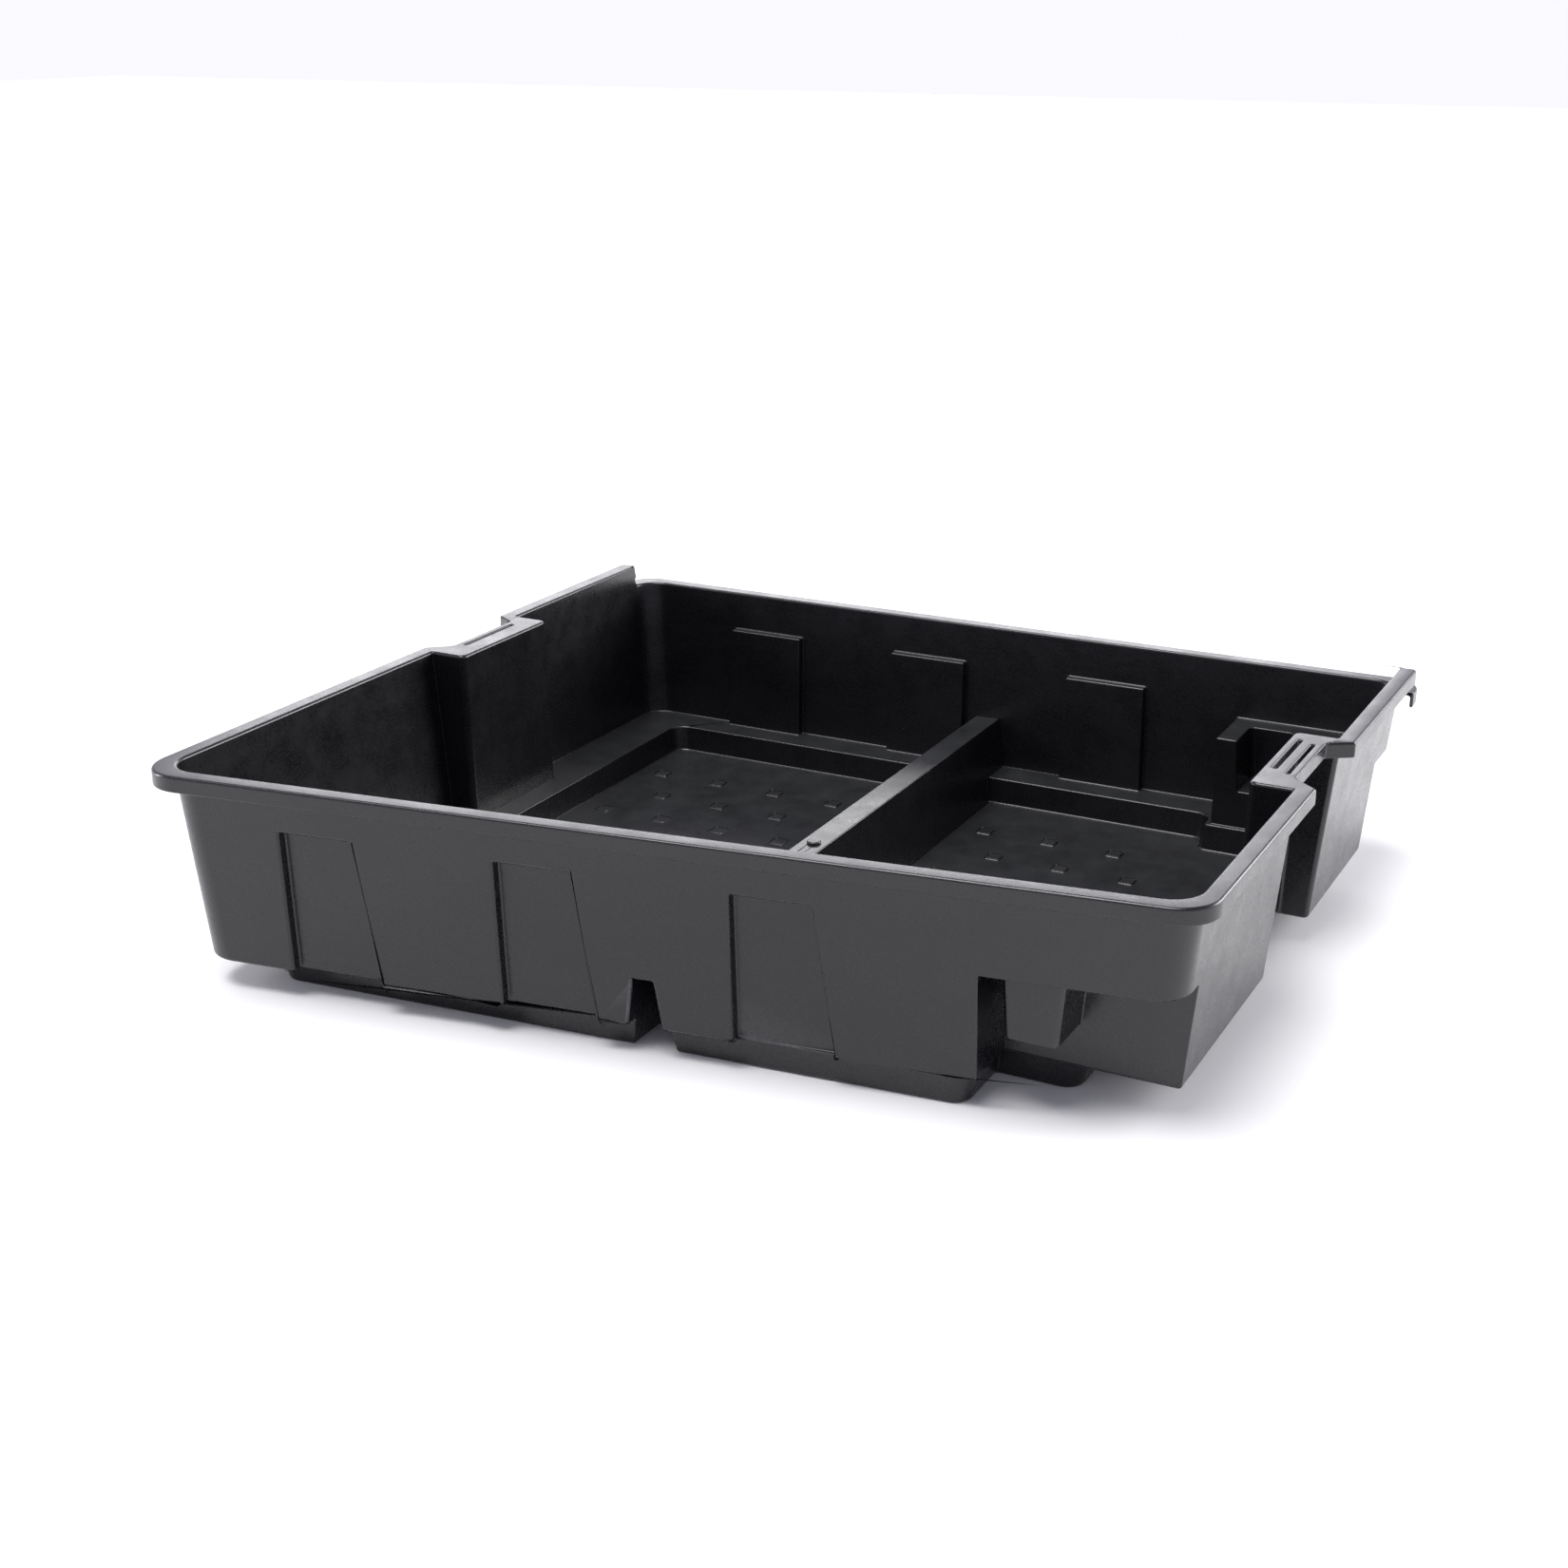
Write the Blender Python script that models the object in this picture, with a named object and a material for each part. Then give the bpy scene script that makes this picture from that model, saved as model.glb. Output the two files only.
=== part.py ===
"""Moulded containment tray with two sunken floor panels and a lift-off divider.

Lengths are in metres, +Z is up, +Y points to the back and +X to the right.
The plan is a box whose front wall runs askew, so the left side is the longer one.
"""

import math

import bmesh
import bpy
from mathutils import Vector

MM = 0.001

# overall sizes, in millimetres
WIDTH = 800.0
FRONT_Y = 8.0
DEPTH = 753.0
RIM_Z = 179.0
BACK_RIM_Z = 159.0
SIDE_RIM_END_Y = 718.0
WALL = 3.0

# rim
JOG_R = 3.0
FLANGE_R = 4.0
RIM_END_R = 4.0
BACK_RIM_FRONT_R = 2.0
SKIRT_DROP = 13.0
SKEW = 0.14
FRONT_CORNER_R = 32.0
BACK_CORNER_R = 30.0
BACK_RIM_START_Y = 711.0

# wall, as insets from the rim's outer line
WALL_INSET_TOP = 13.0
WALL_INSET_BOTTOM = 26.0
FRONT_INSET_BOTTOM = 20.0
BACK_INSET_TOP = 12.0
BACK_INSET_BOTTOM = 24.0
WALL_BOTTOM_Z = 23.0

# side channels
CHANNEL_MOUTH_R = 4.0
CHANNEL_CORNER_R = 3.0
WALL_CORNER_STEP = 4.0
CHANNEL_FRONT_Y = 374.0
CHANNEL_REAR_Y = 500.0
CHANNEL_INSET_TOP = 46.0
CHANNEL_INSET_BOTTOM = 50.0
FLANGE_INSET = 20.0
FLANGE_FRONT_Y = 397.0
FLANGE_REAR_Y = 485.0
RIM_JOG_FRONT_Y = 380.0
RIM_JOG_REAR_Y = 498.0

# slots in the flanges over the channels: inset from, inset to, front, rear
OUTER_SLOT = (26.5, 29.5, 402.0, 478.0)
INNER_SLOT = (38.0, 42.0, 410.0, 484.0)
SLOT_LOW_Z = 171.0

# plinths under the sunken floor panels
PLINTH_FRONT_Y = 61.0
PLINTH_SKEW = 0.096
PLINTH_BACK_Y = 690.0
PLINTH_LEFT_X = 78.0
PLINTH_GAP_HALF = 10.0
PLINTH_STEP_X = 636.0
PLINTH_RIGHT_X = 698.0
PLINTH_DRAFT = 4.0
PLINTH_SETBACK = 8.0
PLINTH_R = 14.0
PLINTH_GAP_R = 5.0
PLINTH_STEP_R = 3.0

# undercut corners at the right-hand end
RECESS_X = 645.0
RECESS_TOP_Z = 104.0
RECESS_FRONT_Y = 170.0
RECESS_BACK_Y = 671.0
NICHE_X = (657.0, 704.0)
NICHE_Z = 57.0
NICHE_FRONT_Y = 125.0
NICHE_BACK_Y = 715.0
NICHE_DRAFT = 4.0
NICHE_R = 5.0

# pockets pressed into the front and back walls
POCKET_X = (113.0, 288.0, 468.0)
POCKET_TOP_W = 60.0
POCKET_BOTTOM_W = 75.0
POCKET_TOP_Z = 139.0
BACK_POCKET_X = (125.0, 301.0, 481.0)
BACK_POCKET_TOP_W = 70.0
BACK_POCKET_BOTTOM_W = 74.0
BACK_POCKET_TOP_Z = 120.0
POCKET_DEPTH = 8.0

# hollow rib across the floor, and the divider that drops over it
RIB_X = 400.0
TUNNEL_TOP_Z = 62.0
TUNNEL_TOP_W = 15.0
TUNNEL_BOTTOM_W = 34.0
DIVIDER_TOP_Z = 72.0
DIVIDER_SKIN = 2.2
DIVIDER_GAP = 0.4
DIVIDER_END_GAP = 1.0
DIVIDER_FRONT_STEP_Y = 107.0
DIVIDER_BACK_STEP_Y = 684.0
FLOOR_GAP = 0.3

# push-in clips
CLIP_Y = (150.0, 357.0)
CLIP_HOLE_R = 2.9
CLIP_SHANK_R = 2.5
CLIP_HEAD_R = 6.0
CLIP_HEAD_T = 2.0
CLIP_TIP_Z = 56.0
CLIP_TIP_TAPER = 1.2
CLIP_TIP_L = 2.0
CLIP_HEAD_BEVEL = 0.9

# small square bosses on the floor panels
BOSS_SIZE = 13.0
BOSS_RISE = 1.2
BOSS_STEP_X = 62.0
BOSS_STEP_Y = 55.0
BOSS_FIRST_Y = 165.0
BOSS_BACK_MARGIN = 25.0
BOSS_SIDE_MARGIN = 22.0
BOSS_RIB_MARGIN = 42.0

PLASTIC = (0.018, 0.018, 0.02, 1.0)
CLIP_PLASTIC = (0.03, 0.03, 0.032, 1.0)

# arcs: corners over LARGE_R get more steps
LARGE_R = 12.0
CORNER_STEPS = 12
SMALL_STEPS = 4
SHARPEST_R = 0.6
SHARP_ANGLE = math.radians(32.0)
FLAT_ANGLE = 0.0005
WELD = 0.000002

# how far a cutting shape runs past what it cuts
REACH = 20.0
FAR_REACH = 60.0
NEAR_REACH = 2.0
WALL_REACH = 15.0

# a sloped rib side's width over its thickness
SLOPE = 1.012


def clear_scene():
    for old in list(bpy.data.objects):
        bpy.data.objects.remove(old, do_unlink=True)


def new_collection(name, helper):
    made = bpy.data.collections.new(name)
    bpy.context.scene.collection.children.link(made)
    made.hide_render = helper
    return made


def new_material(name, colour, roughness):
    made = bpy.data.materials.new(name)
    made.use_nodes = True
    shader = made.node_tree.nodes["Principled BSDF"]
    shader.inputs["Base Color"].default_value = colour
    shader.inputs["Roughness"].default_value = roughness
    shader.inputs["Metallic"].default_value = 0.0
    return made


def offset_loop(corners, inset):
    """Moves every side of an anticlockwise loop inwards by inset."""
    moved = []
    count = len(corners)
    for i in range(count):
        before = Vector(corners[i - 1][:2])
        here = Vector(corners[i][:2])
        after = Vector(corners[(i + 1) % count][:2])
        first = (here - before).normalized()
        second = (after - here).normalized()
        normal_a = Vector((-first.y, first.x))
        normal_b = Vector((-second.y, second.x))
        cosine = normal_a.dot(normal_b)
        shift = (normal_a + normal_b) * (inset / (1.0 + cosine))
        turn = first.x * second.y - first.y * second.x
        radius = corners[i][2] - inset if turn > 0 else corners[i][2] + inset
        moved.append((here.x + shift.x, here.y + shift.y, max(radius, SHARPEST_R)))
    return moved


def rounded(corners):
    """Turns (x, y, radius) corners into a point list with arcs in them."""
    points = []
    count = len(corners)
    for i in range(count):
        before = Vector(corners[i - 1][:2])
        here = Vector(corners[i][:2])
        after = Vector(corners[(i + 1) % count][:2])
        radius = corners[i][2]
        first = (here - before).normalized()
        second = (after - here).normalized()
        turn = math.atan2(first.x * second.y - first.y * second.x, first.dot(second))
        side = 1.0 if turn > 0 else -1.0
        reach = radius * math.tan(abs(turn) / 2.0)
        centre = here - first * reach + Vector((-first.y, first.x)) * side * radius
        steps = CORNER_STEPS if radius > LARGE_R else SMALL_STEPS
        start = (here - first * reach) - centre
        for k in range(steps + 1):
            angle = turn * k / steps
            x = start.x * math.cos(angle) - start.y * math.sin(angle)
            y = start.x * math.sin(angle) + start.y * math.cos(angle)
            points.append((centre.x + x, centre.y + y))
    return points


def place(x, y, z):
    return Vector(((x - WIDTH / 2.0) * MM, (y - DEPTH / 2.0) * MM, z * MM))


def loft(name, rings, home):
    """Closes a stack of loops, each a list of (x, y, z) in millimetres."""
    mesh = bpy.data.meshes.new(name)
    work = bmesh.new()
    rows = [[work.verts.new(place(*p)) for p in ring] for ring in rings]
    for low, high in zip(rows, rows[1:]):
        for i in range(len(low)):
            j = (i + 1) % len(low)
            work.faces.new((low[i], low[j], high[j], high[i]))
    work.faces.new(list(reversed(rows[0])))
    work.faces.new(rows[-1])
    bmesh.ops.triangulate(work, faces=work.faces)
    bmesh.ops.recalc_face_normals(work, faces=work.faces)
    work.to_mesh(mesh)
    work.free()
    made = bpy.data.objects.new(name, mesh)
    home.objects.link(made)
    return made


def plan_loft(name, stages, home):
    """stages: (corner list, z) from the bottom up. Every loop gets the same steps."""
    count = len(stages[0][0])
    large = [any(corners[i][2] > LARGE_R for corners, z in stages) for i in range(count)]
    rings = []
    for corners, z in stages:
        fixed = []
        for corner, is_large in zip(corners, large):
            radius = max(corner[2], LARGE_R + 0.5) if is_large else min(corner[2], LARGE_R)
            fixed.append((corner[0], corner[1], radius))
        rings.append([(x, y, z) for x, y in rounded(fixed)])
    return loft(name, rings, home)


def block(name, low, high, home):
    corners = [(low[0], low[1]), (high[0], low[1]), (high[0], high[1]), (low[0], high[1])]
    rings = [[(x, y, z) for x, y in corners] for z in (low[2], high[2])]
    return loft(name, rings, home)


def disc(name, x, y, stages, home, sides=24):
    """A turned piece: stages are (radius, z) from the bottom up."""
    rings = []
    for radius, z in stages:
        ring = []
        for k in range(sides):
            angle = 2.0 * math.pi * k / sides
            ring.append((x + radius * math.cos(angle), y + radius * math.sin(angle), z))
        rings.append(ring)
    return loft(name, rings, home)


def combine(target, tool, operation):
    step = target.modifiers.new(tool.name, "BOOLEAN")
    step.operation = operation
    step.solver = "EXACT"
    step.object = tool
    bpy.context.view_layer.update()
    graph = bpy.context.evaluated_depsgraph_get()
    result = bpy.data.meshes.new_from_object(target.evaluated_get(graph))
    target.modifiers.clear()
    target.data = result
    bpy.data.objects.remove(tool, do_unlink=True)


def front_line(x, inset):
    """Y of the askew front line at x, moved in by inset."""
    return FRONT_Y + SKEW * x + inset * math.sqrt(1.0 + SKEW * SKEW)


def wall_plan(inset, channel, front_inset, back_inset):
    """The outer face of the wall: front, right channel, back, left channel."""
    right = WIDTH - inset
    hollow = WIDTH - channel
    back = DEPTH - back_inset
    return [
        (inset, front_line(inset, front_inset), FRONT_CORNER_R - WALL_CORNER_STEP),
        (right, front_line(right, front_inset), FRONT_CORNER_R - WALL_CORNER_STEP),
        (right, CHANNEL_FRONT_Y, CHANNEL_MOUTH_R),
        (hollow, CHANNEL_FRONT_Y, CHANNEL_CORNER_R),
        (hollow, CHANNEL_REAR_Y, CHANNEL_CORNER_R),
        (right, CHANNEL_REAR_Y, CHANNEL_MOUTH_R),
        (right, back, BACK_CORNER_R - WALL_CORNER_STEP),
        (inset, back, BACK_CORNER_R - WALL_CORNER_STEP),
        (inset, CHANNEL_REAR_Y, CHANNEL_MOUTH_R),
        (channel, CHANNEL_REAR_Y, CHANNEL_CORNER_R),
        (channel, CHANNEL_FRONT_Y, CHANNEL_CORNER_R),
        (inset, CHANNEL_FRONT_Y, CHANNEL_MOUTH_R),
    ]


def wall_at(z):
    """The wall's plan at a height, straight from its bottom to its top."""
    part = (z - WALL_BOTTOM_Z) / (RIM_Z - SKIRT_DROP - WALL_BOTTOM_Z)
    inset = WALL_INSET_BOTTOM + part * (WALL_INSET_TOP - WALL_INSET_BOTTOM)
    channel = CHANNEL_INSET_BOTTOM + part * (CHANNEL_INSET_TOP - CHANNEL_INSET_BOTTOM)
    front = FRONT_INSET_BOTTOM + part * (WALL_INSET_TOP - FRONT_INSET_BOTTOM)
    back = BACK_INSET_BOTTOM + part * (BACK_INSET_TOP - BACK_INSET_BOTTOM)
    return wall_plan(inset, channel, front, back)


def front_face_y(x, z):
    """Outer face of the front wall."""
    plan = wall_at(z)
    part = (x - plan[0][0]) / (plan[1][0] - plan[0][0])
    return plan[0][1] + part * (plan[1][1] - plan[0][1])


def back_face_y(z):
    return wall_at(z)[6][1]


def rim_plan():
    return [
        (0.0, front_line(0.0, 0.0), FRONT_CORNER_R),
        (WIDTH, front_line(WIDTH, 0.0), FRONT_CORNER_R),
        (WIDTH, RIM_JOG_FRONT_Y, JOG_R),
        (WIDTH - FLANGE_INSET, FLANGE_FRONT_Y, FLANGE_R),
        (WIDTH - FLANGE_INSET, FLANGE_REAR_Y, FLANGE_R),
        (WIDTH, RIM_JOG_REAR_Y, JOG_R),
        (WIDTH, SIDE_RIM_END_Y, RIM_END_R),
        (0.0, SIDE_RIM_END_Y, RIM_END_R),
        (0.0, RIM_JOG_REAR_Y, JOG_R),
        (FLANGE_INSET, FLANGE_REAR_Y, FLANGE_R),
        (FLANGE_INSET, FLANGE_FRONT_Y, FLANGE_R),
        (0.0, RIM_JOG_FRONT_Y, JOG_R),
    ]


def back_rim_plan():
    return [
        (0.0, BACK_RIM_START_Y, BACK_RIM_FRONT_R),
        (WIDTH, BACK_RIM_START_Y, BACK_RIM_FRONT_R),
        (WIDTH, DEPTH, BACK_CORNER_R),
        (0.0, DEPTH, BACK_CORNER_R),
    ]


def plinth_plans(grow):
    """Plans of the two plinths at the floor, each side moved out by grow."""
    left_end = RIB_X - PLINTH_GAP_HALF
    right_start = RIB_X + PLINTH_GAP_HALF
    back = PLINTH_BACK_Y
    left = [
        (PLINTH_LEFT_X, PLINTH_FRONT_Y + PLINTH_SKEW * PLINTH_LEFT_X, PLINTH_R),
        (left_end, PLINTH_FRONT_Y + PLINTH_SKEW * left_end, PLINTH_GAP_R),
        (left_end, back, PLINTH_GAP_R),
        (PLINTH_LEFT_X, back, PLINTH_R),
    ]
    right = [
        (right_start, PLINTH_FRONT_Y + PLINTH_SKEW * right_start, PLINTH_GAP_R),
        (PLINTH_STEP_X, PLINTH_FRONT_Y + PLINTH_SKEW * PLINTH_STEP_X, PLINTH_R),
        (PLINTH_STEP_X, RECESS_FRONT_Y + PLINTH_SETBACK, PLINTH_STEP_R),
        (PLINTH_RIGHT_X, RECESS_FRONT_Y + PLINTH_SETBACK, PLINTH_R),
        (PLINTH_RIGHT_X, RECESS_BACK_Y - PLINTH_SETBACK, PLINTH_R),
        (PLINTH_STEP_X, RECESS_BACK_Y - PLINTH_SETBACK, PLINTH_STEP_R),
        (PLINTH_STEP_X, back, PLINTH_R),
        (right_start, back, PLINTH_GAP_R),
    ]
    return [offset_loop(left, -grow), offset_loop(right, -grow)]


def bar(name, section, front, back, home):
    """A bar along Y: section is a list of (x, z), front and back give y at a point."""
    near = [(x, front(x, z), z) for x, z in section]
    far = [(x, back(x, z), z) for x, z in section]
    return loft(name, [near, far], home)


def trapezoid(top_w, bottom_w, low_z, top_z):
    return [
        (RIB_X - bottom_w / 2.0, low_z),
        (RIB_X + bottom_w / 2.0, low_z),
        (RIB_X + top_w / 2.0, top_z),
        (RIB_X - top_w / 2.0, top_z),
    ]


def width_at(z):
    """Width of the tunnel under the rib at a height."""
    return TUNNEL_BOTTOM_W + (TUNNEL_TOP_W - TUNNEL_BOTTOM_W) * z / TUNNEL_TOP_Z


def pocket(name, x, top_w, bottom_w, top_z, depth, on_front, home):
    """A wedge that follows the wall: straight left side, slanted right side."""
    low_z = WALL_BOTTOM_Z - NEAR_REACH
    rings = []
    for z, width in ((low_z, bottom_w), (top_z, top_w)):
        if on_front:
            outer = [front_face_y(x, z) - WALL_REACH, front_face_y(x + width, z) - WALL_REACH]
            inner = [front_face_y(x, z) + depth, front_face_y(x + width, z) + depth]
            ring = [
                (x, outer[0], z),
                (x + width, outer[1], z),
                (x + width, inner[1], z),
                (x, inner[0], z),
            ]
        else:
            face = back_face_y(z)
            ring = [
                (x, face - depth, z),
                (x + width, face - depth, z),
                (x + width, face + WALL_REACH, z),
                (x, face + WALL_REACH, z),
            ]
        rings.append(ring)
    return loft(name, rings, home)


def grown_pocket(name, x, top_w, bottom_w, top_z, depth, on_front, home):
    """The same wedge with the wall's thickness round it, as the cavity sees it."""
    return pocket(
        name,
        x - WALL,
        top_w + 2.0 * WALL,
        bottom_w + 2.0 * WALL,
        top_z + WALL,
        depth + WALL,
        on_front,
        home,
    )


def niche_stages(front, rear, low_z, high_z, inset):
    """A small drafted pad, narrower at its foot, each side moved in by inset."""
    left = NICHE_X[0] + inset
    right = NICHE_X[1] - inset
    draft = NICHE_DRAFT
    low = [
        (left + draft, front, NICHE_R),
        (right - draft, front, NICHE_R),
        (right - draft, rear, NICHE_R),
        (left + draft, rear, NICHE_R),
    ]
    high = [(left, front, NICHE_R), (right, front, NICHE_R), (right, rear, NICHE_R), (left, rear, NICHE_R)]
    return [(low, low_z), (high, high_z)]


def make_shell(home, tools):
    low = WALL_BOTTOM_Z
    wall_top = RIM_Z - 0.5 * WALL
    shell = plan_loft("tray", [(wall_at(low), low), (wall_at(wall_top), wall_top)], home)
    skirt_z = RIM_Z - SKIRT_DROP
    rim = plan_loft("rim", [(rim_plan(), skirt_z), (rim_plan(), RIM_Z)], tools)
    under = offset_loop(rim_plan(), WALL)
    hollow = plan_loft("rim_hollow", [(under, skirt_z - NEAR_REACH), (under, RIM_Z - WALL)], tools)
    combine(rim, hollow, "DIFFERENCE")
    back_z = BACK_RIM_Z - SKIRT_DROP
    back_rim = plan_loft("back_rim", [(back_rim_plan(), back_z), (back_rim_plan(), BACK_RIM_Z)], tools)
    under = offset_loop(back_rim_plan(), WALL)
    under[0] = (under[0][0], BACK_RIM_START_Y - WALL - NEAR_REACH, SHARPEST_R)
    under[1] = (under[1][0], BACK_RIM_START_Y - WALL - NEAR_REACH, SHARPEST_R)
    hollow = plan_loft("back_hollow", [(under, back_z - NEAR_REACH), (under, BACK_RIM_Z - WALL)], tools)
    combine(back_rim, hollow, "DIFFERENCE")

    cut = block(
        "back_drop",
        (-REACH, SIDE_RIM_END_Y - 0.5 * WALL, BACK_RIM_Z - 0.5 * WALL),
        (WIDTH + REACH, DEPTH + 2.0 * REACH, RIM_Z + REACH),
        tools,
    )
    combine(shell, cut, "DIFFERENCE")
    for name, front, rear in (
        ("front_recess", -FAR_REACH, RECESS_FRONT_Y),
        ("back_recess", RECESS_BACK_Y, DEPTH + FAR_REACH),
    ):
        cut = block(name, (RECESS_X, front, 0.0), (WIDTH + 2.0 * REACH, rear, RECESS_TOP_Z), tools)
        combine(shell, cut, "DIFFERENCE")
    for name, front, rear in (
        ("front_niche", NICHE_FRONT_Y, RECESS_FRONT_Y + NICHE_R),
        ("back_niche", RECESS_BACK_Y - NICHE_R, NICHE_BACK_Y),
    ):
        stages = niche_stages(front, rear, NICHE_Z, RECESS_TOP_Z + 1.0, 0.0)
        combine(shell, plan_loft(name, stages, tools), "UNION")
    for i, x in enumerate(POCKET_X):
        cut = pocket(
            f"pocket_{i}", x, POCKET_TOP_W, POCKET_BOTTOM_W, POCKET_TOP_Z, POCKET_DEPTH, True, tools
        )
        combine(shell, cut, "DIFFERENCE")
    for i, x in enumerate(BACK_POCKET_X):
        cut = pocket(
            f"back_pocket_{i}",
            x,
            BACK_POCKET_TOP_W,
            BACK_POCKET_BOTTOM_W,
            BACK_POCKET_TOP_Z,
            POCKET_DEPTH,
            False,
            tools,
        )
        combine(shell, cut, "DIFFERENCE")
    for i, (small, large) in enumerate(zip(plinth_plans(0.0), plinth_plans(PLINTH_DRAFT))):
        foot = plan_loft(f"plinth_{i}", [(small, 0.0), (large, low + 1.0)], tools)
        combine(shell, foot, "UNION")
    combine(shell, rim, "UNION")
    combine(shell, back_rim, "UNION")
    return shell


def make_cavity(tools):
    floor = WALL_BOTTOM_Z + WALL
    high = RIM_Z + REACH
    low_plan = offset_loop(wall_at(floor), WALL)
    high_plan = offset_loop(wall_at(high), WALL)
    cavity = plan_loft("cavity", [(low_plan, floor), (high_plan, high)], tools)
    smalls = [offset_loop(p, WALL) for p in plinth_plans(0.0)]
    larges = [offset_loop(p, WALL) for p in plinth_plans(PLINTH_DRAFT)]
    for i, (small, large) in enumerate(zip(smalls, larges)):
        pit = plan_loft(f"panel_{i}", [(small, WALL), (large, floor + 1.0)], tools)
        combine(cavity, pit, "UNION")
    for name, front, rear in (
        ("front_step", -FAR_REACH, RECESS_FRONT_Y + WALL),
        ("back_step", RECESS_BACK_Y - WALL, DEPTH + FAR_REACH),
    ):
        cut = block(
            name,
            (RECESS_X - WALL, front, 0.0),
            (WIDTH + 2.0 * REACH, rear, RECESS_TOP_Z + WALL),
            tools,
        )
        combine(cavity, cut, "DIFFERENCE")
    for name, front, rear in (
        ("front_pit", NICHE_FRONT_Y + WALL, RECESS_FRONT_Y + WALL + NICHE_R),
        ("back_pit", RECESS_BACK_Y - WALL - NICHE_R, NICHE_BACK_Y - WALL),
    ):
        stages = niche_stages(front, rear, NICHE_Z + WALL, RECESS_TOP_Z + 2.0 * WALL, WALL)
        combine(cavity, plan_loft(name, stages, tools), "UNION")
    for i, x in enumerate(POCKET_X):
        pad = grown_pocket(
            f"pad_{i}", x, POCKET_TOP_W, POCKET_BOTTOM_W, POCKET_TOP_Z, POCKET_DEPTH, True, tools
        )
        combine(cavity, pad, "DIFFERENCE")
    for i, x in enumerate(BACK_POCKET_X):
        pad = grown_pocket(
            f"back_pad_{i}",
            x,
            BACK_POCKET_TOP_W,
            BACK_POCKET_BOTTOM_W,
            BACK_POCKET_TOP_Z,
            POCKET_DEPTH,
            False,
            tools,
        )
        combine(cavity, pad, "DIFFERENCE")
    top = TUNNEL_TOP_Z + WALL
    low = -NEAR_REACH
    skin = 2.0 * WALL * SLOPE
    section = trapezoid(width_at(top) + skin, width_at(low) + skin, low, top)
    rib = bar("rib", section, lambda x, z: -REACH, lambda x, z: DEPTH + REACH, tools)
    combine(cavity, rib, "DIFFERENCE")
    return cavity


def add_bosses(tray, tools):
    """Staggered rows of low square bosses on both floor panels."""
    rows = int((PLINTH_BACK_Y - BOSS_FIRST_Y - BOSS_BACK_MARGIN) / BOSS_STEP_Y)
    panels = (
        (PLINTH_LEFT_X + BOSS_SIDE_MARGIN, RIB_X - BOSS_RIB_MARGIN),
        (RIB_X + BOSS_RIB_MARGIN, PLINTH_STEP_X - BOSS_SIDE_MARGIN),
    )
    for row in range(rows):
        y = BOSS_FIRST_Y + row * BOSS_STEP_Y
        shift = 0.5 * BOSS_STEP_X if row % 2 else 0.0
        for start, end in panels:
            x = start + shift
            while x + BOSS_SIZE < end:
                low = (x, y, 0.5 * WALL)
                high = (x + BOSS_SIZE, y + BOSS_SIZE, WALL + BOSS_RISE)
                combine(tray, block("boss", low, high, tools), "UNION")
                x += BOSS_STEP_X


def make_tray(home, tools):
    tray = make_shell(home, tools)
    combine(tray, make_cavity(tools), "DIFFERENCE")
    low = -NEAR_REACH
    section = trapezoid(TUNNEL_TOP_W, width_at(low), low, TUNNEL_TOP_Z)
    tunnel = bar("tunnel", section, lambda x, z: -REACH, lambda x, z: DEPTH + REACH, tools)
    combine(tray, tunnel, "DIFFERENCE")
    slots = (
        ("outer_slot_left", OUTER_SLOT[0], OUTER_SLOT[1], OUTER_SLOT),
        ("outer_slot_right", WIDTH - OUTER_SLOT[1], WIDTH - OUTER_SLOT[0], OUTER_SLOT),
        ("inner_slot_right", WIDTH - INNER_SLOT[1], WIDTH - INNER_SLOT[0], INNER_SLOT),
    )
    for name, left, right, (_, _, front, rear) in slots:
        cut = block(name, (left, front, SLOT_LOW_Z), (right, rear, RIM_Z + WALL), tools)
        combine(tray, cut, "DIFFERENCE")
    rib_top = TUNNEL_TOP_Z + WALL
    for i, y in enumerate(CLIP_Y):
        ends = [(CLIP_HOLE_R, rib_top - 2.0 * WALL), (CLIP_HOLE_R, rib_top + WALL)]
        combine(tray, disc(f"rib_hole_{i}", RIB_X, y, ends, tools), "DIFFERENCE")
    add_bosses(tray, tools)
    return tray


def make_divider(home, tools):
    """An upside-down trough that follows the walls at both ends."""
    side = 2.0 * WALL * SLOPE + 2.0 * DIVIDER_GAP
    low = WALL + FLOOR_GAP
    inner_top = DIVIDER_TOP_Z - DIVIDER_SKIN

    def inner_w(z):
        return width_at(z) + side

    def outer_w(z):
        return inner_w(z) + 2.0 * DIVIDER_SKIN

    def front(x, z):
        return front_face_y(x, z) + (WALL + DIVIDER_END_GAP) * SLOPE

    def back(x, z):
        return back_face_y(z) - WALL - DIVIDER_END_GAP

    section = trapezoid(outer_w(DIVIDER_TOP_Z), outer_w(low), low, DIVIDER_TOP_Z)
    outer = bar("divider", section, front, back, home)
    base = low - NEAR_REACH
    section = trapezoid(inner_w(inner_top), inner_w(base), base, inner_top)
    inner = bar("divider_hollow", section, lambda x, z: -REACH, lambda x, z: DEPTH + REACH, tools)
    combine(outer, inner, "DIFFERENCE")
    ledge = WALL_BOTTOM_Z + WALL + FLOOR_GAP
    for name, start, end in (
        ("front_ledge", -REACH, DIVIDER_FRONT_STEP_Y),
        ("back_ledge", DIVIDER_BACK_STEP_Y, DEPTH + REACH),
    ):
        cut = block(name, (RIB_X - FAR_REACH, start, -REACH), (RIB_X + FAR_REACH, end, ledge), tools)
        combine(outer, cut, "DIFFERENCE")
    return outer


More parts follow.
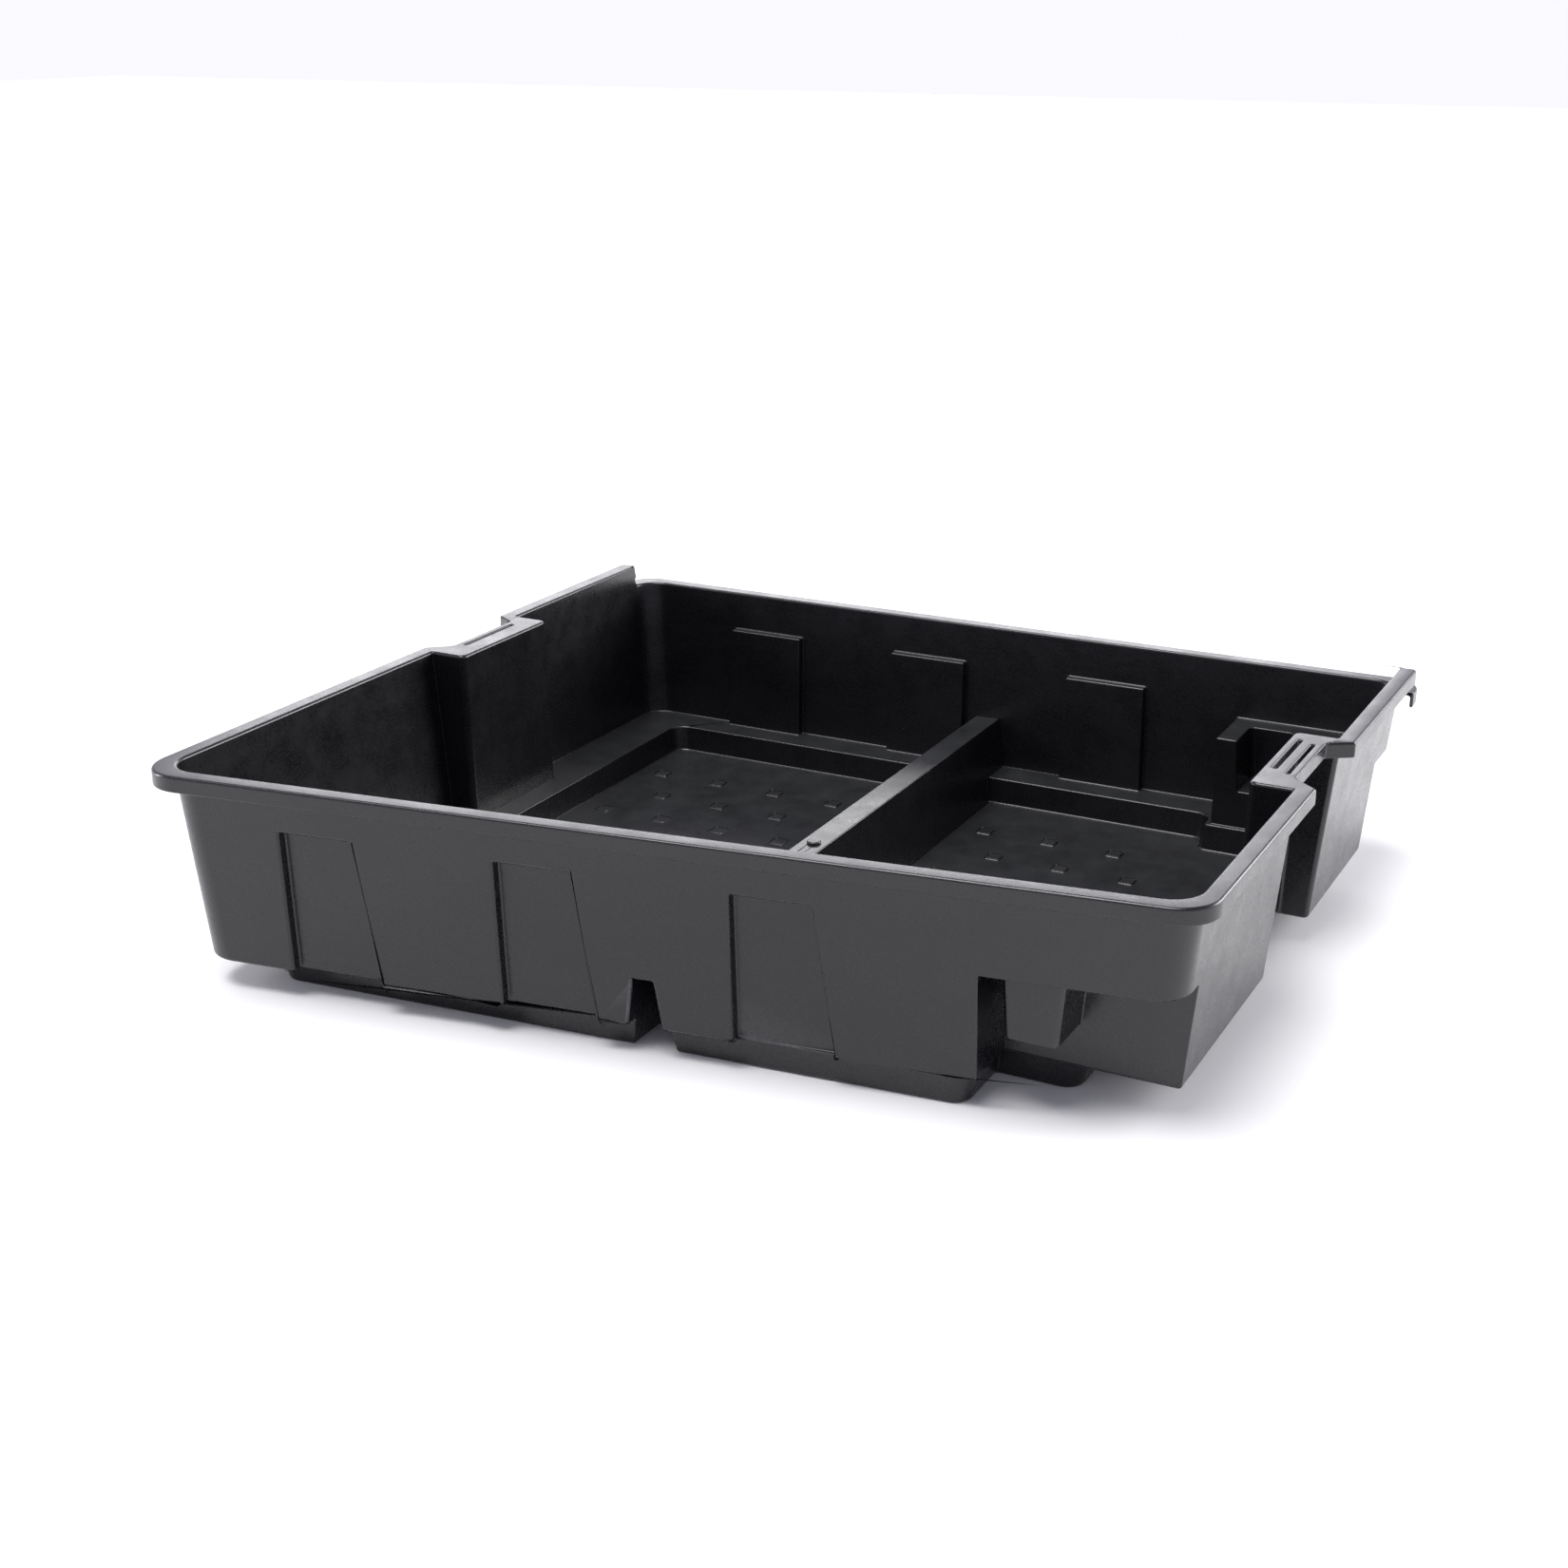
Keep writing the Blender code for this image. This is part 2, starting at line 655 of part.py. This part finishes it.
def make_clip(name, y, home):
    top = DIVIDER_TOP_Z + FLOOR_GAP
    stages = [
        (CLIP_SHANK_R - CLIP_TIP_TAPER, CLIP_TIP_Z),
        (CLIP_SHANK_R, CLIP_TIP_Z + CLIP_TIP_L),
        (CLIP_SHANK_R, top),
        (CLIP_HEAD_R, top),
        (CLIP_HEAD_R, top + 0.5 * CLIP_HEAD_T),
        (CLIP_HEAD_R - CLIP_HEAD_BEVEL, top + CLIP_HEAD_T),
    ]
    return disc(name, RIB_X, y, stages, home)


def finish_piece(piece, material):
    """Merges what the cuts left doubled, clears flat edges and shades the arcs smooth."""
    work = bmesh.new()
    work.from_mesh(piece.data)
    bmesh.ops.remove_doubles(work, verts=work.verts, dist=WELD)
    bmesh.ops.dissolve_limit(work, angle_limit=FLAT_ANGLE, verts=work.verts, edges=work.edges)
    bmesh.ops.triangulate(work, faces=work.faces)
    work.to_mesh(piece.data)
    work.free()
    piece.data.materials.clear()
    piece.data.materials.append(material)
    piece.data.shade_smooth()
    piece.data.set_sharp_from_angle(angle=SHARP_ANGLE)


def centre_on_floor(pieces, tray):
    """Puts the origin under the middle of the tray's box."""
    points = [v.co.copy() for v in tray.data.vertices]
    low = Vector([min(p[i] for p in points) for i in range(3)])
    high = Vector([max(p[i] for p in points) for i in range(3)])
    shift = Vector(((low.x + high.x) / 2.0, (low.y + high.y) / 2.0, low.z))
    for piece in pieces:
        for vertex in piece.data.vertices:
            vertex.co -= shift


def main():
    clear_scene()
    home = new_collection("containment_tray", False)
    tools = new_collection("cutters", True)
    body = new_material("tray_plastic", PLASTIC, 0.42)
    clip = new_material("clip_plastic", CLIP_PLASTIC, 0.5)
    tray = make_tray(home, tools)
    divider = make_divider(home, tools)
    clips = []
    for name, y in zip(("clip_front", "clip_middle"), CLIP_Y):
        ends = [(CLIP_HOLE_R, DIVIDER_TOP_Z - 2.0 * WALL), (CLIP_HOLE_R, DIVIDER_TOP_Z + WALL)]
        combine(divider, disc(f"hole_{name}", RIB_X, y, ends, tools), "DIFFERENCE")
        clips.append(make_clip(name, y, home))
    centre_on_floor([tray, divider, *clips], tray)
    finish_piece(tray, body)
    finish_piece(divider, body)
    for piece in clips:
        finish_piece(piece, clip)


main()
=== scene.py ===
"""Looks for the moulded containment tray: rounded edges, grained black plastic, a soft studio.

Lengths are in metres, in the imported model's frame: +Z up, +Y to the back, +X to the right.
"""

import math

import bmesh
import bpy
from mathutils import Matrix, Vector


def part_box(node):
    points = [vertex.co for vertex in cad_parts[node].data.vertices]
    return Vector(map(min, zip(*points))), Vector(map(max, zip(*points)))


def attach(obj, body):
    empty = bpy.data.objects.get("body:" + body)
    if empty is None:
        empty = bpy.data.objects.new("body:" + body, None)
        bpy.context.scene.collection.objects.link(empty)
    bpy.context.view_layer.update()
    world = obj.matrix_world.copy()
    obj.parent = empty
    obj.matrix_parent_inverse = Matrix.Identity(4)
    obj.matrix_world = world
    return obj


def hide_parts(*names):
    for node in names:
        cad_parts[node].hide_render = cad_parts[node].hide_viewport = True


# rounding of every edge sharper than EDGE_ANGLE
EDGE_R = 0.0013
DIVIDER_EDGE_R = EDGE_R * 0.7
CLIP_EDGE_R = 0.0004
EDGE_SEGMENTS = 3
EDGE_ANGLE = math.radians(34.0)

# cleaning of the CAD mesh: faces with more corners than MANY_CORNERS are cut into triangles
WELD = 0.000004
FLAT_ANGLE = 0.001
MANY_CORNERS = 6
SMOOTH_ANGLE = math.radians(50.0)

# level loops rounded more than the rest: height, radius, whether the flange slots stay sharp
LOOPS = (
    (0.179, 0.0024, True),
    (0.159, 0.0022, False),
    (0.023, 0.0032, False),
    (0.0, 0.0028, False),
)
LEVEL = 0.0003
LOOP_SEGMENTS = 4
LOOP_PROFILE = 0.5
SLOT_Y = 0.058
SLOT_HALF = 0.048
SLOT_FROM_X = 0.354

# outlines of the pockets in the front wall: where they are, and what counts as one
POCKET_LOW_Z = 0.030
POCKET_HIGH_Z = 0.142
POCKET_END_X = 0.160
POCKET_BACK_Y = -0.200
POCKET_EDGE_L = 0.030
POCKET_EDGE_R = 0.0024
FACES_FRONT = -0.9

# colours of the plastic
TRAY_BLACK = (0.0036, 0.0035, 0.0046)
TRAY_GREY = (0.0064, 0.0063, 0.0078)
CLIP_BLACK = (0.016, 0.016, 0.018)
CLIP_GREY = (0.034, 0.034, 0.036)
DUST = (0.044, 0.046, 0.047)
SCUFF = (0.036, 0.036, 0.040)
# the light colour on the rounded edges: partly wear, partly a painted highlight along the edges
WEAR_AND_HIGHLIGHT = (0.085, 0.084, 0.094)
SCUFF_COLOUR = 0.35

# noises of the plastic: scale, detail, roughness, distortion
GRAIN_NOISE = (1100.0, 2.0, 0.55, 0.0)
PEBBLE_NOISE = (420.0, 3.0, 0.6, 0.0)
MOTTLE_NOISE = (34.0, 5.0, 0.6, 0.0)
FLOW_NOISE = (6.0, 4.0, 0.5, 0.8)
SCUFF_NOISE = (26.0, 6.0, 0.7, 0.6)

# the stretch of the space that a noise is laid in, then its turn in radians
FLOW_STRETCH = ((1.0, 0.28, 2.2), 0.12)
SCUFF_STRETCH = ((5.0, 0.7, 1.6), 0.55)

# what each range of values becomes: from low, from high, to low, to high
LEVEL_RANGE = (0.75, 0.98, 0.0, 1.0)
DUST_RANGE = (0.3, 0.7, 0.26, 0.46)
EDGE_RANGE = (0.54, 0.62, 0.0, 1.0)
WORN_AND_HIGHLIGHT_RANGE = (0.35, 0.65, 0.2, 0.7)
SCUFF_RANGE = (0.66, 0.78, 0.0, 0.35)
FLOW_RANGE = (0.35, 0.68, 0.0, 1.0)
PEBBLE_ROUGH_RANGE = (0.3, 0.7, -0.03, 0.04)
MOTTLE_LOW = 0.3
MOTTLE_HIGH = 0.7

# surface of the plastic: its roughness, then what mottle, dust and scuffs take off it or add to it
TRAY_ROUGHNESS = 0.275
TRAY_DUST = 1.0
CLIP_ROUGHNESS = 0.34
CLIP_DUST = 0.4
MOTTLE_SMOOTHER = 0.04
MOTTLE_ROUGHER = 0.05
DUST_ROUGH = 0.16
SCUFF_ROUGH = 0.18
PLASTIC_IOR = 1.52
COAT = 0.12
COAT_ROUGHNESS = 0.22

# relief of the plastic: the shares of the two grains, then strength and distance of each bump
PEBBLE_HEIGHT = 0.7
GRAIN_HEIGHT = 0.3
FINE_BUMP = (0.22, 0.0003)
WAVY_BUMP = (0.14, 0.004)

# sockets of the colour mix node
MIX_FACTOR = 0
MIX_FIRST = 6
MIX_SECOND = 7
MIX_RESULT = 2

# camera
CAMERA_AT = Vector((0.7483, -1.5235, 0.7299))
CAMERA_DIRECTION = Vector((-0.4325, 0.8348, -0.3407))
LENS_MM = 50.39
SENSOR_MM = 36.0

# floor
STAGE_HALF = 14.0
STAGE_SEGMENTS = 2
BACKDROP = (0.92, 0.92, 0.92)
BACKDROP_SHADE = (0.89, 0.89, 0.90)
CLOUD_NOISE = (3.0, 3.0, 0.55, 0.0)
CLOUD_RANGE = (0.3, 0.7, 0.0, 0.3)
FLOOR_ROUGHNESS = 0.75
FLOOR_SHINE = 0.2

# lights: the sky, a wide sun for a ceiling, and the area lights
WORLD_STRENGTH = 1.12
SKY_LOW = (0.86, 0.85, 1.0)
SKY_HIGH = (0.18, 0.18, 0.22)
SKY_RANGE = (0.08, 0.75, 0.0, 1.0)
CEILING_POWER = 2.9
CEILING_SPREAD = math.radians(35.0)
CEILING_DIRECTION = (0.15, 0.2, -1.0)
# name, place, target, width, height, power
AREA_LIGHTS = (
    ("right_wall", (2.2, 2.2, 1.2), (0.9, 0.8, 0.0), 2.2, 1.4, 90.0),
    ("back_sheen", (-1.9, 3.6, 1.5), (0.0, 0.0, 0.1), 3.2, 1.0, 42.0),
    ("left_strip", (-2.4, -0.9, 0.7), (0.0, 0.0, 0.1), 0.5, 1.4, 22.0),
)


def add(tree, kind, **values):
    """Adds a shader node and sets its plain properties."""
    made = tree.nodes.new(kind)
    for key, value in values.items():
        setattr(made, key, value)
    return made


def noise(tree, vector, scale, detail, roughness, distortion):
    made = add(tree, "ShaderNodeTexNoise")
    made.inputs["Scale"].default_value = scale
    made.inputs["Detail"].default_value = detail
    made.inputs["Roughness"].default_value = roughness
    made.inputs["Distortion"].default_value = distortion
    tree.links.new(vector, made.inputs["Vector"])
    return made.outputs["Fac"]


def remap(tree, value, low, high, to_low, to_high):
    made = add(tree, "ShaderNodeMapRange")
    made.inputs["From Min"].default_value = low
    made.inputs["From Max"].default_value = high
    made.inputs["To Min"].default_value = to_low
    made.inputs["To Max"].default_value = to_high
    tree.links.new(value, made.inputs["Value"])
    return made.outputs["Result"]


def combine(tree, operation, first, second):
    """One sum or product. A plain number goes on the node's own socket."""
    made = add(tree, "ShaderNodeMath", operation=operation)
    for socket, value in zip(made.inputs, (first, second)):
        if isinstance(value, float):
            socket.default_value = value
        else:
            tree.links.new(value, socket)
    return made.outputs["Value"]


def mix_colour(tree, factor, first, second):
    made = add(tree, "ShaderNodeMix", data_type="RGBA")
    sockets = (MIX_FACTOR, MIX_FIRST, MIX_SECOND)
    for index, value in zip(sockets, (factor, first, second)):
        socket = made.inputs[index]
        if isinstance(value, tuple):
            socket.default_value = (*value, 1.0)
        elif isinstance(value, float):
            socket.default_value = value
        else:
            tree.links.new(value, socket)
    return made.outputs[MIX_RESULT]


def stretched(tree, vector, scale, turn):
    made = add(tree, "ShaderNodeMapping")
    made.inputs["Scale"].default_value = scale
    made.inputs["Rotation"].default_value = (0.0, 0.0, turn)
    tree.links.new(vector, made.inputs["Vector"])
    return made.outputs["Vector"]


def bump(tree, height, strength, distance):
    made = add(tree, "ShaderNodeBump")
    made.inputs["Strength"].default_value = strength
    made.inputs["Distance"].default_value = distance
    tree.links.new(height, made.inputs["Height"])
    return made


def moulded_plastic(name, dark, light, roughness, dusty):
    """Black moulded plastic: pebble grain, flow marks, scuffs, dust on level faces, and edges
    lightened partly by wear and partly by a painted highlight.
    """
    material = bpy.data.materials.new(name)
    material.use_nodes = True
    tree = material.node_tree
    shader = tree.nodes["Principled BSDF"]
    place = add(tree, "ShaderNodeTexCoord").outputs["Object"]
    surface = add(tree, "ShaderNodeNewGeometry")

    grain = noise(tree, place, *GRAIN_NOISE)
    pebble = noise(tree, place, *PEBBLE_NOISE)
    mottle = noise(tree, place, *MOTTLE_NOISE)
    flow = noise(tree, stretched(tree, place, *FLOW_STRETCH), *FLOW_NOISE)
    scuff = noise(tree, stretched(tree, place, *SCUFF_STRETCH), *SCUFF_NOISE)

    split = add(tree, "ShaderNodeSeparateXYZ")
    tree.links.new(surface.outputs["Normal"], split.inputs["Vector"])
    level = remap(tree, split.outputs["Z"], *LEVEL_RANGE)
    dust = combine(tree, "MULTIPLY", level, remap(tree, mottle, *DUST_RANGE))
    dust = combine(tree, "MULTIPLY", dust, dusty)
    # edge mask from pointiness: where the edge colour goes, partly wear and partly a painted
    # highlight
    edge = remap(tree, surface.outputs["Pointiness"], *EDGE_RANGE)
    worn_and_highlight = combine(tree, "MULTIPLY", edge, remap(tree, mottle, *WORN_AND_HIGHLIGHT_RANGE))
    scuffed = remap(tree, scuff, *SCUFF_RANGE)

    colour = mix_colour(tree, remap(tree, flow, *FLOW_RANGE), dark, light)
    colour = mix_colour(tree, dust, colour, DUST)
    colour = mix_colour(tree, combine(tree, "MULTIPLY", scuffed, SCUFF_COLOUR), colour, SCUFF)
    # edges lightened: partly wear, partly a painted highlight
    colour = mix_colour(tree, worn_and_highlight, colour, WEAR_AND_HIGHLIGHT)
    tree.links.new(colour, shader.inputs["Base Color"])

    smoothest = roughness - MOTTLE_SMOOTHER
    roughest = roughness + MOTTLE_ROUGHER
    rough = remap(tree, mottle, MOTTLE_LOW, MOTTLE_HIGH, smoothest, roughest)
    rough = combine(tree, "ADD", rough, remap(tree, pebble, *PEBBLE_ROUGH_RANGE))
    rough = combine(tree, "ADD", rough, combine(tree, "MULTIPLY", dust, DUST_ROUGH))
    rough = combine(tree, "ADD", rough, combine(tree, "MULTIPLY", scuffed, SCUFF_ROUGH))
    tree.links.new(rough, shader.inputs["Roughness"])

    pebble_height = combine(tree, "MULTIPLY", pebble, PEBBLE_HEIGHT)
    grain_height = combine(tree, "MULTIPLY", grain, GRAIN_HEIGHT)
    fine = bump(tree, combine(tree, "ADD", pebble_height, grain_height), *FINE_BUMP)
    wavy = bump(tree, flow, *WAVY_BUMP)
    tree.links.new(fine.outputs["Normal"], wavy.inputs["Normal"])
    tree.links.new(wavy.outputs["Normal"], shader.inputs["Normal"])

    shader.inputs["Metallic"].default_value = 0.0
    shader.inputs["IOR"].default_value = PLASTIC_IOR
    shader.inputs["Coat Weight"].default_value = COAT
    shader.inputs["Coat Roughness"].default_value = COAT_ROUGHNESS
    return material


def sharp_outside(edge):
    """Whether an edge is an outside corner sharper than EDGE_ANGLE."""
    if len(edge.link_faces) != 2:
        return False
    return edge.is_convex and edge.calc_face_angle(0.0) > EDGE_ANGLE


def loop_edges(work, height, keep_off):
    """The outside corners that lie at a height. With keep_off, the flange slots are left out."""
    chosen = []
    for edge in work.edges:
        a, b = (vertex.co for vertex in edge.verts)
        at_height = abs(a.z - height) <= LEVEL and abs(b.z - height) <= LEVEL
        if not at_height or not sharp_outside(edge):
            continue
        middle = (a + b) / 2.0
        if keep_off and abs(middle.y - SLOT_Y) < SLOT_HALF and abs(middle.x) > SLOT_FROM_X:
            continue
        chosen.append(edge)
    return chosen


def outline_edges(work):
    """The outlines of the pockets in the front wall."""
    chosen = []
    for edge in work.edges:
        a, b = (vertex.co for vertex in edge.verts)
        middle = (a + b) / 2.0
        if not POCKET_LOW_Z < middle.z < POCKET_HIGH_Z:
            continue
        if middle.y > POCKET_BACK_Y or middle.x > POCKET_END_X or not sharp_outside(edge):
            continue
        front_facing = min(face.normal.y for face in edge.link_faces) < FACES_FRONT
        if front_facing and edge.calc_length() > POCKET_EDGE_L:
            chosen.append(edge)
    return chosen


def round_edges(work, chosen, radius):
    bmesh.ops.bevel(
        work,
        geom=chosen,
        offset=radius,
        offset_type="OFFSET",
        segments=LOOP_SEGMENTS,
        profile=LOOP_PROFILE,
        affect="EDGES",
        clamp_overlap=False,
        miter_outer="ARC",
    )


def cleaned_mesh(node):
    """The node's CAD mesh, welded and simplified. The tray's outlines and level loops are rounded."""
    mesh = bpy.data.meshes.new(node + "_moulded")
    work = bmesh.new()
    work.from_mesh(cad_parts[node].data)
    bmesh.ops.remove_doubles(work, verts=work.verts, dist=WELD)
    bmesh.ops.dissolve_limit(work, angle_limit=FLAT_ANGLE, verts=work.verts, edges=work.edges)
    bmesh.ops.triangulate(work, faces=[f for f in work.faces if len(f.verts) > MANY_CORNERS])
    if node == "tray":
        round_edges(work, outline_edges(work), POCKET_EDGE_R)
        for height, loop_radius, keep_off in LOOPS:
            round_edges(work, loop_edges(work, height, keep_off), loop_radius)
    work.to_mesh(mesh)
    work.free()
    return mesh


def rounded_piece(node, radius, material, body):
    """A copy of a CAD node's solid with its moulded edges rounded, kept inside the node's box."""
    piece = bpy.data.objects.new(node + "_moulded", cleaned_mesh(node))
    bpy.context.scene.collection.objects.link(piece)
    bevel = piece.modifiers.new("edges", "BEVEL")
    bevel.width = radius
    bevel.segments = EDGE_SEGMENTS
    bevel.limit_method = "ANGLE"
    bevel.angle_limit = EDGE_ANGLE
    bevel.use_clamp_overlap = False
    bevel.miter_outer = "MITER_ARC"
    bpy.context.view_layer.update()
    graph = bpy.context.evaluated_depsgraph_get()
    piece.data = bpy.data.meshes.new_from_object(piece.evaluated_get(graph))
    piece.modifiers.clear()
    low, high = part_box(node)
    for vertex in piece.data.vertices:
        vertex.co = [min(max(vertex.co[i], low[i]), high[i]) for i in range(3)]
    piece.data.shade_smooth()
    piece.data.set_sharp_from_angle(angle=SMOOTH_ANGLE)
    piece.modifiers.new("normals", "WEIGHTED_NORMAL").keep_sharp = True
    piece.data.materials.clear()
    piece.data.materials.append(material)
    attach(piece, body)
    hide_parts(node)


def make_stage():
    """A wide pale floor."""
    mesh = bpy.data.meshes.new("floor")
    work = bmesh.new()
    bmesh.ops.create_grid(
        work, x_segments=STAGE_SEGMENTS, y_segments=STAGE_SEGMENTS, size=STAGE_HALF
    )
    work.to_mesh(mesh)
    work.free()
    floor = bpy.data.objects.new("floor", mesh)
    bpy.context.scene.collection.objects.link(floor)
    material = bpy.data.materials.new("floor_paper")
    material.use_nodes = True
    tree = material.node_tree
    shader = tree.nodes["Principled BSDF"]
    place = add(tree, "ShaderNodeTexCoord").outputs["Object"]
    cloud = remap(tree, noise(tree, place, *CLOUD_NOISE), *CLOUD_RANGE)
    colour = mix_colour(tree, cloud, BACKDROP, BACKDROP_SHADE)
    tree.links.new(colour, shader.inputs["Base Color"])
    shader.inputs["Roughness"].default_value = FLOOR_ROUGHNESS
    shader.inputs["Specular IOR Level"].default_value = FLOOR_SHINE
    mesh.materials.append(material)


def turned_to(direction):
    """The rotation that points a light or a camera along a direction."""
    return Vector(direction).to_track_quat("-Z", "Y").to_euler()


def area_light(name, place, target, width, height, power):
    data = bpy.data.lights.new(name, "AREA")
    data.shape = "RECTANGLE"
    data.size = width
    data.size_y = height
    data.energy = power
    lamp = bpy.data.objects.new(name, data)
    lamp.location = place
    lamp.rotation_euler = turned_to(Vector(target) - Vector(place))
    bpy.context.scene.collection.objects.link(lamp)


def make_sky():
    """A world that is pale near the horizon and darker overhead."""
    world = bpy.data.worlds.new("studio")
    bpy.context.scene.world = world
    world.use_nodes = True
    tree = world.node_tree
    sky = tree.nodes["Background"]
    direction = add(tree, "ShaderNodeTexCoord").outputs["Generated"]
    split = add(tree, "ShaderNodeSeparateXYZ")
    tree.links.new(direction, split.inputs["Vector"])
    height = remap(tree, split.outputs["Z"], *SKY_RANGE)
    tree.links.new(mix_colour(tree, height, SKY_LOW, SKY_HIGH), sky.inputs["Color"])
    sky.inputs["Strength"].default_value = WORLD_STRENGTH


def make_lights():
    make_sky()
    for lamp_values in AREA_LIGHTS:
        area_light(*lamp_values)
    data = bpy.data.lights.new("ceiling", "SUN")
    data.energy = CEILING_POWER
    data.angle = CEILING_SPREAD
    lamp = bpy.data.objects.new("ceiling", data)
    lamp.rotation_euler = turned_to(CEILING_DIRECTION)
    bpy.context.scene.collection.objects.link(lamp)


def make_camera():
    data = bpy.data.cameras.new("camera")
    data.lens = LENS_MM
    data.sensor_width = SENSOR_MM
    camera = bpy.data.objects.new("camera", data)
    camera.location = CAMERA_AT
    camera.rotation_euler = turned_to(CAMERA_DIRECTION)
    bpy.context.scene.collection.objects.link(camera)
    bpy.context.scene.camera = camera


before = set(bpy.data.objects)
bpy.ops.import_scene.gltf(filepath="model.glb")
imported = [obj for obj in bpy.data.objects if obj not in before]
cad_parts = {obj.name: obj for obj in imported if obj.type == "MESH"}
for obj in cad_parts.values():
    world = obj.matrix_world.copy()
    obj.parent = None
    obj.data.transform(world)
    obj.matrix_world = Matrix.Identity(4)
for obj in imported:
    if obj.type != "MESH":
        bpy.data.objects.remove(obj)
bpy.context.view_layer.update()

tray_plastic = moulded_plastic(
    "tray_plastic_grained", TRAY_BLACK, TRAY_GREY, TRAY_ROUGHNESS, TRAY_DUST
)
clip_plastic = moulded_plastic(
    "clip_plastic_smooth", CLIP_BLACK, CLIP_GREY, CLIP_ROUGHNESS, CLIP_DUST
)
rounded_piece("tray", EDGE_R, tray_plastic, "tray")
rounded_piece("divider", DIVIDER_EDGE_R, tray_plastic, "divider")
for clip in ("clip_front", "clip_middle"):
    rounded_piece(clip, CLIP_EDGE_R, clip_plastic, "divider")

make_stage()
make_lights()
make_camera()
bpy.context.scene.view_settings.view_transform = "Standard"
